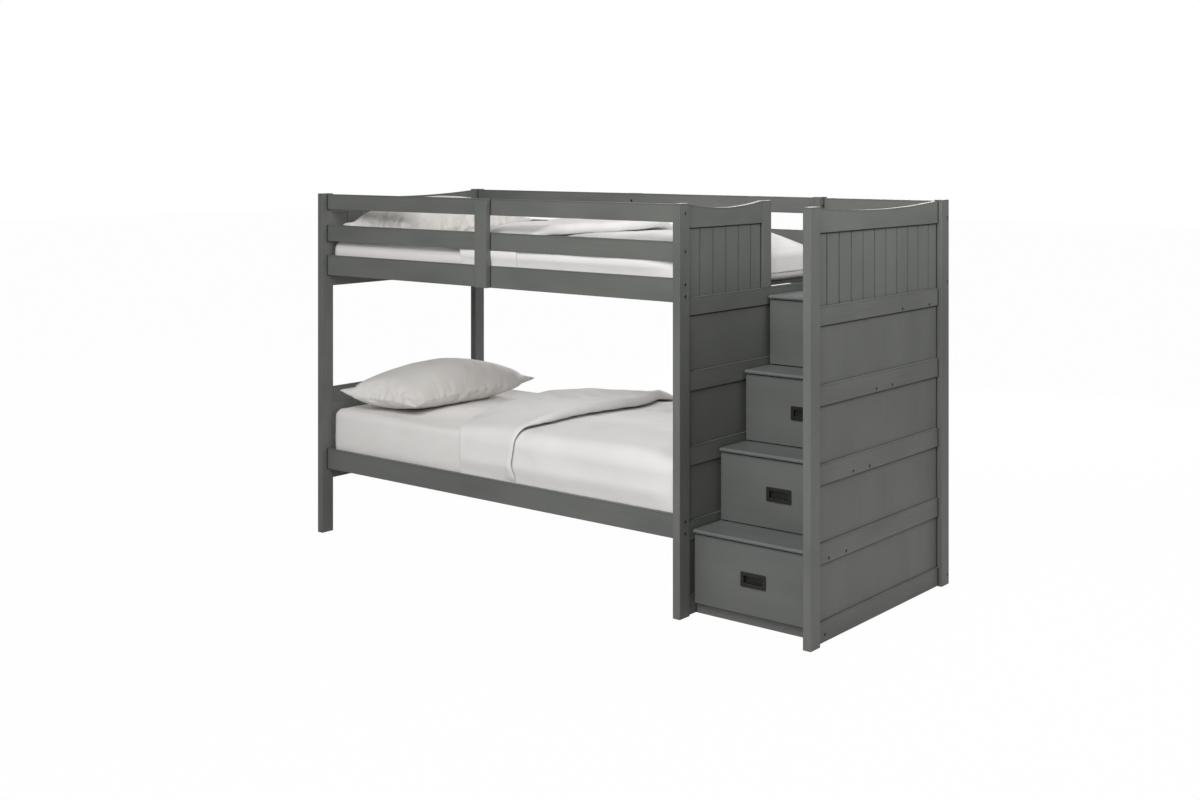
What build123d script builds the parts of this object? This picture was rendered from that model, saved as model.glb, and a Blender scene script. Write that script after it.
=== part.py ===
from build123d import *
import os

# Twin-over-twin bunk bed with a staircase of storage drawers at its foot end.
# X runs along the bed from head to stairs, Y from the open front to the back, Z up.
# The origin is on the floor, under the middle of the whole bed.  Sizes in millimetres.

os.makedirs("parts", exist_ok=True)

# ---- driving sizes: whole bed -------------------------------------------------------
bed_clear_length = 1930.0      # between the head frame and the middle frame
stair_clear_width = 517.0      # between the middle frame and the outer frame
total_depth = 1076.0
post_height = 1530.0
post_thick = 32.0              # along X
post_width = 64.0              # along Y
edge_round = 1.5               # eased edge of every planed board
panel_play = 0.3               # play left around a panel in its groove

# ---- driving sizes: cross rails and panels of the three end frames ------------------
outer_rail_thick = 16.0        # rails of the head frame and the outer frame
inner_rail_thick = 20.0        # rails of the middle frame
cross_rail_height = 73.0
cross_rail_first = 2.0         # underside of the lowest cross rail
step_rise = 277.0              # floor of one step to the next, and rail to rail
step_count = 4
entry_rail_height = 68.0
entry_rail_lift = 4.0          # entry rail above the next whole rise
top_rail_bottom = 1438.0
top_rail_end = 1526.0          # height of a top rail where it meets a post
top_rail_dip = 19.0            # how far its top edge sinks in the middle
panel_thick = 9.0
panel_recess = 7.0             # panel face behind the rail face
panel_groove = 6.0             # how deep a panel sits in posts and rails
bead_pitch = 88.0
bead_first = 86.0              # front post to the first bead
bead_half_width = 3.6
bead_depth = 3.2
stile_width = 69.0
entry_width = 369.0            # way from the top step into the upper bunk
low_head_bottom = 241.0
low_head_top = 653.0

# ---- driving sizes: long rails, guards and slats ------------------------------------
rail_thick = 18.0
rail_recess = 28.0             # long rails stand back from the post faces
side_rail_height = 90.0
upper_side_rail_bottom = 1162.0
lower_side_rail_bottom = 287.0
guard_rail_height = 68.0
top_guard_bottom = 1459.0
middle_guard_height = 73.0
middle_guard_bottom = 1315.0
rail_end_gap = 0.5             # end play of a long rail between two frames
cleat_width = 22.0
cleat_height = 16.0
cleat_end_gap = 5.0
slat_count = 13
slat_width = 68.0
slat_thick = 12.0
slat_end_gap = 3.0             # slat end to side rail
slat_margin = 20.0             # rail end to the first slat

# ---- driving sizes: staircase and drawers -------------------------------------------
tread_over_rail = 41.0         # tread top above the underside of the cross rail beside it
tread_thick = 15.0
tread_side_gap = 1.0           # tread end to post face
step_run = 175.5
first_front_face = 91.0        # front of the lowest drawer behind the post fronts
nosing = 6.0                   # tread in front of the drawer face below it
tread_depth = 245.0
tread_cleat = 20.0
tread_cleat_height = 25.0
tread_cleat_setback = 26.0
plinth_setback = 24.0
plinth_thick = 18.0
plinth_height = 50.0
stair_back_thick = 28.0
stair_guard_height = 134.0
stair_guard_top = 1525.0
stair_back_middle = 1204.0     # centre height of the middle back rail
drawer_top_gap = 3.0
drawer_bottom_gap = 4.0
drawer_side_gap = 3.0
front_thick = 18.0
box_side_gap = 18.0            # drawer box to post face, on each side
box_depth = 365.0
box_headroom = 87.0            # step rise less the height of a drawer box
box_lift = 16.0                # drawer box above the lower edge of its front
box_wall = 12.0
box_floor = 6.0
box_floor_lift = 10.0
runner_ledge = 8.0
runner_guide_gap = 2.0
runner_play = 0.3
runner_overlap = 10.0          # how far a drawer side stands on its runner
runner_end_gap = 2.0           # runner to the drawer front

# ---- driving sizes: flush pulls and bolts -------------------------------------------
pull_length = 106.0
pull_height = 52.0
pull_rim = 12.0
pull_plate = 2.5
pull_depth = 13.0
pull_wall = 1.5
pull_fit = 0.4
bolt_radius = 3.0
bolt_play = 0.25
bolt_head_radius = 5.5
bolt_head_height = 2.5
bolt_sink = 3.5                # depth of the counterbore
bolt_reach = 40.0              # bolt length beyond the post
bolt_bite = 0.65               # share of a thin piece that its bolt enters
tread_bolt_places = (0.2, 0.8) # along each tread cleat

# ---- driving sizes: bedding ---------------------------------------------------------
mattress_length = 1905.0
mattress_width = 965.0
mattress_head_gap = 8.0
lower_mattress_thick = 241.0
upper_mattress_thick = 125.0
duvet_length = 1122.0
duvet_thick = 96.0
duvet_skirt = 8.0
lower_skirt_drop = 210.0
upper_skirt_drop = 90.0
pillow_length = 840.0          # along Y
pillow_width = 450.0
pillow_thick = 190.0
pillow_head_gap = 40.0
pillow_shift = -55.0           # towards the open front
pillow_round = 45.0
soft_gap = 0.5
mattress_round = 20.0

# ---- places worked out from the driving sizes ---------------------------------------
total_length = bed_clear_length + stair_clear_width + 3 * post_thick
x_head = -total_length / 2
x_bed_start = x_head + post_thick
x_middle = x_bed_start + bed_clear_length
x_stair_start = x_middle + post_thick
x_outer = x_stair_start + stair_clear_width
x_end = x_outer + post_thick
y_front = -total_depth / 2
y_back = total_depth / 2
y_frame_front = y_front + post_width
y_frame_back = y_back - post_width
inner_rail_side = (post_thick - inner_rail_thick) / 2
x_middle_rail = (x_middle + inner_rail_side, x_stair_start - inner_rail_side)
x_outer_rail = (x_outer, x_outer + outer_rail_thick)
x_head_rail = (x_bed_start - outer_rail_thick, x_bed_start)
y_front_rail = (y_front + rail_recess, y_front + rail_recess + rail_thick)
y_back_rail = (y_back - rail_recess - rail_thick, y_back - rail_recess)
x_mid_bed = x_bed_start + bed_clear_length / 2
entry_rail_bottom = step_count * step_rise + entry_rail_lift
box_height = step_rise - box_headroom
y_stile_back = y_frame_back - entry_width
y_stile_front = y_stile_back - stile_width
low_slat_top = lower_side_rail_bottom + cleat_height + slat_thick
high_slat_top = upper_side_rail_bottom + cleat_height + slat_thick
cross_rail_bottoms = [cross_rail_first] + [i * step_rise for i in range(1, step_count)]


def save(builder, name):
    """Label a finished piece and write it to its own STEP file."""
    builder.part.label = name
    export_step(builder.part, f"parts/{name}.step")


def centre(*spans):
    """Middle point of three spans."""
    return tuple((low + high) / 2 for low, high in spans)


def board(x_span, y_span, z_span, mode=Mode.ADD):
    """A straight board that fills three spans, inside the current part."""
    with Locations(centre(x_span, y_span, z_span)):
        Box(x_span[1] - x_span[0], y_span[1] - y_span[0], z_span[1] - z_span[0], mode=mode)


def span(middle, width):
    """A span of a given width about its middle."""
    return (middle - width / 2, middle + width / 2)


# A bolt is (point on the outer face, unit direction into the joint, total length).
long_rails = {
    "upper_front_side_rail": (y_front_rail, (upper_side_rail_bottom, upper_side_rail_bottom + side_rail_height)),
    "upper_back_side_rail": (y_back_rail, (upper_side_rail_bottom, upper_side_rail_bottom + side_rail_height)),
    "lower_front_side_rail": (y_front_rail, (lower_side_rail_bottom, lower_side_rail_bottom + side_rail_height)),
    "lower_back_side_rail": (y_back_rail, (lower_side_rail_bottom, lower_side_rail_bottom + side_rail_height)),
    "front_top_guard_rail": (y_front_rail, (top_guard_bottom, top_guard_bottom + guard_rail_height)),
    "back_top_guard_rail": (y_back_rail, (top_guard_bottom, top_guard_bottom + guard_rail_height)),
    "front_middle_guard_rail": (y_front_rail, (middle_guard_bottom, middle_guard_bottom + middle_guard_height)),
    "back_middle_guard_rail": (y_back_rail, (middle_guard_bottom, middle_guard_bottom + middle_guard_height)),
}


def bolt_heights(z_span):
    """One bolt in a guard rail, two in a wide side rail."""
    middle = sum(z_span) / 2
    if z_span[1] - z_span[0] < side_rail_height:
        return [middle]
    return [middle - side_rail_height / 4, middle + side_rail_height / 4]


post_bolt_length = post_thick - bolt_sink + bolt_reach
rail_end_bolts = []
centre_board_bolts = []
for y_span, z_span in long_rails.values():
    y_mid = sum(y_span) / 2
    inside = 1 if y_mid < 0 else -1
    for z in bolt_heights(z_span):
        rail_end_bolts.append(((x_head, y_mid, z), (1, 0, 0), post_bolt_length))
        rail_end_bolts.append(((x_stair_start, y_mid, z), (-1, 0, 0), post_bolt_length))
        if z_span[0] >= upper_side_rail_bottom:
            y_inner_face = y_mid + inside * rail_thick / 2
            through = rail_thick - bolt_sink + rail_recess * bolt_bite
            centre_board_bolts.append(((x_mid_bed, y_inner_face, z), (0, -inside, 0), through))

y_stair_back = (y_back - stair_back_thick, y_back)
stair_guard_z = (stair_guard_top - stair_guard_height, stair_guard_top)
stair_back_spans = [
    (cross_rail_first, cross_rail_first + cross_rail_height),
    span(stair_back_middle, cross_rail_height),
    stair_guard_z,
]
stair_back_bolts = []
for z_span in stair_back_spans:
    z = sum(z_span) / 2
    stair_back_bolts.append(((x_end, sum(y_stair_back) / 2, z), (-1, 0, 0), post_bolt_length))
    stair_back_bolts.append(((x_middle, sum(y_stair_back) / 2, z), (1, 0, 0), post_bolt_length))

front_faces = [y_front + first_front_face + i * step_run for i in range(step_count)]
tread_tops = [(i + 1) * step_rise + tread_over_rail for i in range(step_count)]
plinth_y = (front_faces[0] + plinth_setback, front_faces[0] + plinth_setback + plinth_thick)
plinth_z = (cross_rail_first, cross_rail_first + plinth_height)


def tread_y(step):
    """Front and back of a tread; the top one runs to the back rail."""
    start = front_faces[step] - nosing
    if step == step_count - 1:
        return (start, y_stair_back[0] - 2 * tread_side_gap)
    return (start, start + tread_depth)


def cleat_y(step):
    """The stretch of a tread that its cleats carry."""
    start, end = tread_y(step)
    return (start + tread_cleat_setback, min(end - tread_cleat_setback / 2, y_frame_back - tread_side_gap))


def cleat_z(step):
    """Cleats stand right under their tread."""
    top = tread_tops[step] - tread_thick
    return (top - tread_cleat_height, top)


stair_bolts = []
outer_face = x_outer_rail[1]
middle_face = x_middle_rail[0]
plinth_bolt = (sum(plinth_y) / 2, sum(plinth_z) / 2)
stair_bolts.append(((outer_face, *plinth_bolt), (-1, 0, 0), outer_rail_thick - bolt_sink + bolt_reach))
stair_bolts.append(((middle_face, *plinth_bolt), (1, 0, 0), inner_rail_thick - bolt_sink + bolt_reach))
for step in range(step_count):
    start, end = cleat_y(step)
    for share in tread_bolt_places:
        point = (start + share * (end - start), cleat_z(step)[1] - tread_cleat_height / 2)
        reach = tread_cleat * bolt_bite - bolt_sink
        stair_bolts.append(((outer_face, *point), (-1, 0, 0), outer_rail_thick + reach))
        stair_bolts.append(((middle_face, *point), (1, 0, 0), inner_rail_thick + reach))

all_bolts = rail_end_bolts + centre_board_bolts + stair_back_bolts + stair_bolts


def bolt_body(point, direction, length, play, mode):
    """Sunk head and shank of one bolt, or with play the hole that it sits in."""
    start = Vector(*point)
    way = Vector(*direction)
    head_from = 0 if play else bolt_sink - bolt_head_height
    shank_from = bolt_sink - (0 if play else bolt_head_height / 2)
    shank_to = bolt_sink + length + (2 * play if play else 0)
    for radius, low, high in (
        (bolt_head_radius + 2 * play, head_from, bolt_sink),
        (bolt_radius + play, shank_from, shank_to),
    ):
        plane = Plane(origin=start + way * low, z_dir=way)
        with BuildSketch(plane) as disc:
            Circle(radius)
        extrude(disc.sketch, amount=high - low, mode=mode)


def drill(part_builder, bolts):
    """Cut the hole of every bolt that enters this piece's bounding box."""
    box = part_builder.part.bounding_box()
    for point, direction, length in bolts:
        ends = (Vector(*point), Vector(*point) + Vector(*direction) * (length + bolt_sink))
        touches = all(
            max(a, b) > low - 0.01 and min(a, b) < high + 0.01
            for a, b, low, high in zip(ends[0], ends[1], box.min, box.max)
        )
        if touches:
            bolt_body(point, direction, length, bolt_play, Mode.SUBTRACT)


# ---- posts --------------------------------------------------------------------------
# Six square-edged posts carry the three end frames; grooves hold the panels.
def panel_x(rail_span, recess_from_high):
    """Span of a panel inside its rails, set back from the show face."""
    if recess_from_high:
        return (rail_span[1] - panel_recess - panel_thick, rail_span[1] - panel_recess)
    return (rail_span[0] + panel_recess, rail_span[0] + panel_recess + panel_thick)


x_head_panel = panel_x(x_head_rail, False)
x_middle_panel = panel_x(x_middle_rail, True)
x_outer_panel = panel_x(x_outer_rail, True)
low_head_rail = (low_head_bottom, low_head_bottom + cross_rail_height)
low_head_top_rail = (low_head_top - cross_rail_height, low_head_top)
entry_rail = (entry_rail_bottom, entry_rail_bottom + entry_rail_height)
bead_field = (entry_rail[1], top_rail_bottom)
stair_fields = []
for i, bottom in enumerate(cross_rail_bottoms):
    top = cross_rail_bottoms[i + 1] if i + 1 < step_count else entry_rail_bottom
    stair_fields.append((bottom + cross_rail_height, top))

frames = {
    "left": (x_head, x_head_panel, [bead_field, (low_head_rail[1], low_head_top_rail[0])]),
    "inner": (x_middle, x_middle_panel, [bead_field] + stair_fields),
    "outer": (x_outer, x_outer_panel, [bead_field] + stair_fields),
}


def groove_box(x_span, y_span, z_span):
    """Room for a panel edge, with play across its thickness."""
    wide = (x_span[0] - panel_play / 2, x_span[1] + panel_play / 2)
    board(wide, y_span, z_span, mode=Mode.SUBTRACT)


for frame_name, (x_post, x_panel, fields) in frames.items():
    for side, y_post in (("front", y_front), ("back", y_frame_back)):
        with BuildPart() as post:
            board((x_post, x_post + post_thick), (y_post, y_post + post_width), (0, post_height))
            fillet(post.edges(), edge_round)
            for field in fields:
                if frame_name == "inner" and side == "back" and field is bead_field:
                    continue
                if side == "front":
                    groove = (y_frame_front - panel_groove, y_frame_front + 1)
                else:
                    groove = (y_frame_back - 1, y_frame_back + panel_groove)
                tall = (field[0] - panel_groove, field[1] + panel_groove)
                groove_box(x_panel, groove, tall)
            drill(post, rail_end_bolts + stair_back_bolts)
        save(post, f"{frame_name}_{side}_post")


# ---- cross rails --------------------------------------------------------------------
# Straight rails between the posts of a frame; each is grooved where a panel meets it.
def cross_rail(x_span, x_panel, y_span, z_span, groove_below, groove_above):
    """One rail between two posts, in the current part, with its panel grooves."""
    with BuildPart(mode=Mode.PRIVATE) as rail:
        board(x_span, y_span, z_span)
        fillet(rail.edges().filter_by(Axis.Y), edge_round)
        if groove_above:
            groove_box(x_panel, y_span, (z_span[1] - panel_groove, z_span[1] + 1))
        if groove_below:
            groove_box(x_panel, y_span, (z_span[0] - 1, z_span[0] + panel_groove))
    add(rail.part)


y_between = (y_frame_front, y_frame_back)

with BuildPart() as head_lower_rail:
    cross_rail(x_head_rail, x_head_panel, y_between, entry_rail, False, True)
save(head_lower_rail, "head_lower_rail")

with BuildPart() as lower_head_rails:
    cross_rail(x_head_rail, x_head_panel, y_between, low_head_rail, False, True)
    cross_rail(x_head_rail, x_head_panel, y_between, low_head_top_rail, True, False)
save(lower_head_rails, "lower_head_rails")

for frame_name, x_rail, x_panel in (
    ("inner", x_middle_rail, x_middle_panel),
    ("outer", x_outer_rail, x_outer_panel),
):
    with BuildPart() as entry:
        cross_rail(x_rail, x_panel, y_between, entry_rail, True, True)
        drill(entry, stair_bolts)
    save(entry, f"{frame_name}_entry_rail")

    with BuildPart() as cross_rails:
        for i, bottom in enumerate(cross_rail_bottoms):
            cross_rail(x_rail, x_panel, y_between, (bottom, bottom + cross_rail_height), i > 0, True)
        drill(cross_rails, stair_bolts)
    save(cross_rails, f"{frame_name}_cross_rails")


# ---- curved top rails ---------------------------------------------------------------
# Sawn from one board, with a top edge that sinks in a shallow arc between the posts.
def top_rail(x_span, x_panel, y_span):
    """Curved rail in the current part: straight below, an arc above."""
    middle = (y_span[0] + y_span[1]) / 2
    with BuildSketch(Plane.YZ.offset(x_span[0])) as outline:
        with BuildLine():
            Polyline(
                (y_span[0], top_rail_end), (y_span[0], top_rail_bottom),
                (y_span[1], top_rail_bottom), (y_span[1], top_rail_end),
            )
            ThreePointArc(
                (y_span[1], top_rail_end), (middle, top_rail_end - top_rail_dip), (y_span[0], top_rail_end)
            )
        make_face()
    extrude(outline.sketch, amount=x_span[1] - x_span[0])
    groove_box(x_panel, y_span, (top_rail_bottom - 1, top_rail_bottom + panel_groove))


for name, x_rail, x_panel, y_span in (
    ("head_top_rail", x_head_rail, x_head_panel, y_between),
    ("inner_top_rail", x_middle_rail, x_middle_panel, (y_frame_front, y_stile_front)),
    ("outer_top_rail", x_outer_rail, x_outer_panel, y_between),
):
    with BuildPart() as curved_rail:
        top_rail(x_rail, x_panel, y_span)
    save(curved_rail, name)

# The stile closes the middle frame beside the way in; it stands on the entry rail.
with BuildPart() as inner_stile:
    board(x_middle_rail, (y_stile_front, y_stile_back), (entry_rail[1], top_rail_end))
    fillet(inner_stile.edges(), edge_round)
    groove_box(x_middle_panel, (y_stile_front - 1, y_stile_front + panel_groove),
               (bead_field[0], bead_field[1] + panel_groove))
save(inner_stile, "inner_stile")


# ---- panels -------------------------------------------------------------------------
# Beaded boards above, plain boards between the cross rails; all float in grooves.
def panel_board(x_span, y_span, z_span):
    """A panel that reaches into its grooves, less the play."""
    reach = panel_groove - panel_play
    board(x_span, (y_span[0] - reach, y_span[1] + reach), (z_span[0] - reach, z_span[1] + reach))


def beads(x_span, y_span, z_span):
    """V grooves down both faces of the current panel at the bead pitch."""
    y = y_frame_front + bead_first
    while y < y_span[1] - bead_half_width:
        for face, inward in ((x_span[0], 1), (x_span[1], -1)):
            with BuildSketch(Plane.XY.offset(z_span[0] - panel_groove)) as notch:
                with BuildLine():
                    Polyline(
                        (face - inward, y - bead_half_width), (face, y - bead_half_width),
                        (face + inward * bead_depth, y), (face, y + bead_half_width),
                        (face - inward, y + bead_half_width), close=True,
                    )
                make_face()
            extrude(notch.sketch, amount=z_span[1] - z_span[0] + 2 * panel_groove, mode=Mode.SUBTRACT)
        y += bead_pitch


for name, x_panel, y_span in (
    ("head_beadboard", x_head_panel, y_between),
    ("inner_beadboard", x_middle_panel, (y_frame_front, y_stile_front)),
    ("outer_beadboard", x_outer_panel, y_between),
):
    with BuildPart() as beadboard:
        panel_board(x_panel, y_span, bead_field)
        beads(x_panel, y_span, bead_field)
    save(beadboard, name)

with BuildPart() as lower_head_panel:
    panel_board(x_head_panel, y_between, (low_head_rail[1], low_head_top_rail[0]))
save(lower_head_panel, "lower_head_panel")

for frame_name, x_panel in (("inner", x_middle_panel), ("outer", x_outer_panel)):
    with BuildPart() as panels:
        for field in stair_fields:
            panel_board(x_panel, y_between, field)
    save(panels, f"{frame_name}_panels")

# ---- long rails ---------------------------------------------------------------------
# Side rails and guard rails butt between the head frame and the middle frame.
x_rail_span = (x_bed_start + rail_end_gap, x_middle - rail_end_gap)
for name, (y_span, z_span) in long_rails.items():
    with BuildPart() as long_rail:
        board(x_rail_span, y_span, z_span)
        fillet(long_rail.edges(), edge_round)
        drill(long_rail, rail_end_bolts + centre_board_bolts)
    save(long_rail, name)

# A short upright at mid length ties the guard rails together on each side.
with BuildPart() as guard_centre_boards:
    for y_span in ((y_front, y_front_rail[0]), (y_back_rail[1], y_back)):
        board(span(x_mid_bed, post_width), y_span, (upper_side_rail_bottom, top_guard_bottom + guard_rail_height))
    fillet(guard_centre_boards.edges(), edge_round)
    drill(guard_centre_boards, centre_board_bolts)
save(guard_centre_boards, "guard_centre_boards")

# ---- slats and their cleats ---------------------------------------------------------
deck_bottoms = (lower_side_rail_bottom, upper_side_rail_bottom)
with BuildPart() as slat_cleats:
    for bottom in deck_bottoms:
        for y_span in (
            (y_front_rail[1], y_front_rail[1] + cleat_width),
            (y_back_rail[0] - cleat_width, y_back_rail[0]),
        ):
            board((x_rail_span[0] + cleat_end_gap, x_rail_span[1] - cleat_end_gap), y_span,
                  (bottom, bottom + cleat_height))
save(slat_cleats, "slat_cleats")

slat_pitch = (x_rail_span[1] - x_rail_span[0] - slat_width - 2 * slat_margin) / (slat_count - 1)
slat_y = (y_front_rail[1] + slat_end_gap, y_back_rail[0] - slat_end_gap)
with BuildPart() as bed_slats:
    for bottom in deck_bottoms:
        z_span = (bottom + cleat_height, bottom + cleat_height + slat_thick)
        for i in range(slat_count):
            x = x_rail_span[0] + slat_margin + slat_width / 2 + i * slat_pitch
            board(span(x, slat_width), slat_y, z_span)
save(bed_slats, "bed_slats")

# ---- staircase ----------------------------------------------------------------------
x_tread = (x_stair_start + tread_side_gap, x_outer - tread_side_gap)
for step in range(step_count):
    y_span = tread_y(step)
    z_span = (tread_tops[step] - tread_thick, tread_tops[step])
    with BuildPart() as tread:
        with BuildSketch(Plane.YZ.offset(x_tread[0])) as section:
            with BuildLine():
                nose = tread_thick / 2
                Polyline(
                    (y_span[0] + nose, z_span[0]), (y_span[1], z_span[0]),
                    (y_span[1], z_span[1]), (y_span[0] + nose, z_span[1]),
                )
                ThreePointArc(
                    (y_span[0] + nose, z_span[1]), (y_span[0], sum(z_span) / 2), (y_span[0] + nose, z_span[0])
                )
            make_face()
        extrude(section.sketch, amount=x_tread[1] - x_tread[0])
    save(tread, f"tread_{step + 1}")

with BuildPart() as tread_cleats:
    for step in range(step_count):
        for x_span in (
            (x_middle_rail[1], x_middle_rail[1] + tread_cleat),
            (x_outer - tread_cleat, x_outer),
        ):
            board(x_span, cleat_y(step), cleat_z(step))
    drill(tread_cleats, stair_bolts)
save(tread_cleats, "tread_cleats")

with BuildPart() as stair_plinth:
    board((x_middle_rail[1], x_outer), plinth_y, plinth_z)
    drill(stair_plinth, stair_bolts)
save(stair_plinth, "stair_plinth")

with BuildPart() as stair_back_rails:
    for z_span in stair_back_spans:
        board((x_stair_start, x_outer), y_stair_back, z_span)
    fillet(stair_back_rails.edges().filter_by(Axis.X), edge_round)
    drill(stair_back_rails, stair_back_bolts)
save(stair_back_rails, "stair_back_rails")

# ---- drawers ------------------------------------------------------------------------
# Each drawer is a front board, an open box of five boards and a sunk metal pull.
x_drawer_front = (x_stair_start + drawer_side_gap, x_outer - drawer_side_gap)
x_box = (x_stair_start + box_side_gap, x_outer - box_side_gap)
x_stair_mid = (x_stair_start + x_outer) / 2
pull_well = (pull_length - 2 * pull_rim, pull_height - 2 * pull_rim)


def pocket_size(margin):
    """Outside of the pull's well, widened by a margin on each side."""
    return (pull_well[0] + 2 * (pull_wall + margin), pull_well[1] + 2 * (pull_wall + margin))


with BuildPart() as drawer_runners:
    for step in range(step_count):
        lower = tread_tops[step] - step_rise + drawer_bottom_gap + box_lift
        y_start = front_faces[step] + front_thick + runner_end_gap
        y_span = (y_start, y_start + box_depth + runner_end_gap)
        ledge = (lower - runner_play - runner_ledge, lower - runner_play)
        guide = (ledge[1], lower + 2 * runner_ledge)
        low_x, high_x = x_box
        board((x_middle_rail[1], low_x + runner_overlap), y_span, ledge)
        board((x_middle_rail[1], low_x - runner_guide_gap), y_span, guide)
        board((high_x - runner_overlap, x_outer), y_span, ledge)
        board((high_x + runner_guide_gap, x_outer), y_span, guide)
save(drawer_runners, "drawer_runners")

for step in range(step_count):
    number = step + 1
    y_face = front_faces[step]
    z_front = (
        tread_tops[step] - step_rise + drawer_bottom_gap,
        tread_tops[step] - tread_thick - drawer_top_gap,
    )
    z_pull = sum(z_front) / 2
    y_box = (y_face + front_thick, y_face + front_thick + box_depth)
    z_box = (z_front[0] + box_lift, z_front[0] + box_lift + box_height)

    with BuildPart() as drawer_front:
        board(x_drawer_front, (y_face, y_face + front_thick), z_front)
        fillet(drawer_front.edges(), edge_round)
        pocket = pocket_size(pull_fit)
        board(span(x_stair_mid, pocket[0]), (y_face - 1, y_face + front_thick + 1),
              span(z_pull, pocket[1]), mode=Mode.SUBTRACT)
    save(drawer_front, f"drawer_{number}_front")

    with BuildPart() as drawer_box:
        z_floor = (z_box[0] + box_floor_lift, z_box[0] + box_floor_lift + box_floor)
        x_inside = (x_box[0] + box_wall, x_box[1] - box_wall)
        y_inside = (y_box[0] + box_wall, y_box[1] - box_wall)
        board((x_box[0], x_inside[0]), y_box, z_box)
        board((x_inside[1], x_box[1]), y_box, z_box)
        board(x_inside, (y_box[0], y_inside[0]), z_box)
        board(x_inside, (y_inside[1], y_box[1]), z_box)
        board(x_inside, y_inside, z_floor)
    save(drawer_box, f"drawer_{number}_box")

    with BuildPart() as drawer_pull:
        y_plate = (y_face - pull_plate, y_face)
        shell = pocket_size(0)
        board(span(x_stair_mid, pull_length), y_plate, span(z_pull, pull_height))
        fillet(drawer_pull.edges().filter_by(Axis.Y), 2 * pull_wall)
        fillet(drawer_pull.faces().sort_by(Axis.Y)[0].edges(), pull_wall / 2)
        board(span(x_stair_mid, shell[0]), (y_face, y_face + pull_depth), span(z_pull, shell[1]))
        board(span(x_stair_mid, pull_well[0]), (y_plate[0] - 1, y_face + pull_depth - pull_wall),
              span(z_pull, pull_well[1]), mode=Mode.SUBTRACT)
    save(drawer_pull, f"drawer_{number}_pull")

# ---- bolts --------------------------------------------------------------------------
# Sunk black bolts: rail ends, centre boards, back rails, plinth and tread cleats.
with BuildPart() as frame_bolts:
    for point, direction, length in all_bolts:
        bolt_body(point, direction, length, 0, Mode.ADD)
save(frame_bolts, "frame_bolts")


# ---- bedding ------------------------------------------------------------------------
# Plain closed bodies of the right size: mattress, pillow and duvet of each bunk.
x_mattress = (x_bed_start + mattress_head_gap, x_bed_start + mattress_head_gap + mattress_length)
y_mattress = span(0, mattress_width)
for bunk, slat_top, thick, drop in (
    ("lower", low_slat_top, lower_mattress_thick, lower_skirt_drop),
    ("upper", high_slat_top, upper_mattress_thick, upper_skirt_drop),
):
    mattress_top = slat_top + thick
    with BuildPart() as mattress:
        board(x_mattress, y_mattress, (slat_top + soft_gap, mattress_top))
        fillet(mattress.edges(), mattress_round)
    save(mattress, f"{bunk}_mattress")

    x_pillow = (x_bed_start + pillow_head_gap, x_bed_start + pillow_head_gap + pillow_width)
    with BuildPart() as pillow:
        board(x_pillow, span(pillow_shift, pillow_length), (mattress_top + soft_gap, mattress_top + pillow_thick))
        fillet(pillow.edges(), pillow_round)
    save(pillow, f"{bunk}_pillow")

    x_duvet = (x_mattress[1] + duvet_skirt - duvet_length, x_mattress[1] + duvet_skirt)
    y_duvet = (y_mattress[0] - duvet_skirt, y_mattress[1] + duvet_skirt)
    with BuildPart() as duvet:
        board(x_duvet, y_duvet, (mattress_top - drop, mattress_top + duvet_thick))
        board((x_duvet[0] - 1, x_mattress[1] + soft_gap),
              (y_mattress[0] - soft_gap, y_mattress[1] + soft_gap),
              (mattress_top - drop - 1, mattress_top + soft_gap), mode=Mode.SUBTRACT)
    save(duvet, f"{bunk}_duvet")
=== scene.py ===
import bmesh
import bpy
import math
import numpy as np
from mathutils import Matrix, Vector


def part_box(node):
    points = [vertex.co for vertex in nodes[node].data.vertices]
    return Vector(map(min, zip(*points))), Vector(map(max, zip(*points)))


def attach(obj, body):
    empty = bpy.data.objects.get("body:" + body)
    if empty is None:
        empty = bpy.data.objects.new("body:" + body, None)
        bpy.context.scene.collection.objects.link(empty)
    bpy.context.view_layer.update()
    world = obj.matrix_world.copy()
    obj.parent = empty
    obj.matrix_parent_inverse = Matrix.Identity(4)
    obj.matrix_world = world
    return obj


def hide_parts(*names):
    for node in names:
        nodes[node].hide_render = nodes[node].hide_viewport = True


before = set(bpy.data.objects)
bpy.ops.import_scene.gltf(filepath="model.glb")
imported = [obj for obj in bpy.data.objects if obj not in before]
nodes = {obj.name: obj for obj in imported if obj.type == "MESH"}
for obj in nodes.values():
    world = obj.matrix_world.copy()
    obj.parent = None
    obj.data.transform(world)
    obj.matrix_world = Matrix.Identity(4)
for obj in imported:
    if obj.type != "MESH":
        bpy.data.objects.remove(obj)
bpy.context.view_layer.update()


# ---- studio ------------------------------------------------------------------------------
# A level camera at standing height in front of the stair end, a pale floor, two soft lights
# in front, one beside the stair, one behind the bed, and an even white surround.
def srgb(code):
    """Linear RGBA of an sRGB hex code: each channel through the sRGB curve."""
    c = np.array([int(code[i:i + 2], 16) for i in (1, 3, 5)]) / 255
    linear = np.where(c <= 0.04045, c / 12.92, ((c + 0.055) / 1.055) ** 2.4)
    return (*map(float, linear), 1.0)


def add_node(tree, kind, inputs=(), **settings):
    """Adds one node to a tree.  Settings are the node's own properties, and inputs gives each named
    or numbered socket a value or an output socket to link to."""
    made = tree.nodes.new(kind)
    for key, value in settings.items():
        setattr(made, key, value)
    for key, value in dict(inputs).items():
        if isinstance(value, bpy.types.NodeSocket):
            tree.links.new(value, made.inputs[key])
        else:
            made.inputs[key].default_value = value
    return made


def new_material(name):
    """An empty node material and its tree."""
    made = bpy.data.materials.new(name)
    made.use_nodes = True
    made.node_tree.nodes.clear()
    return made, made.node_tree


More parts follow.
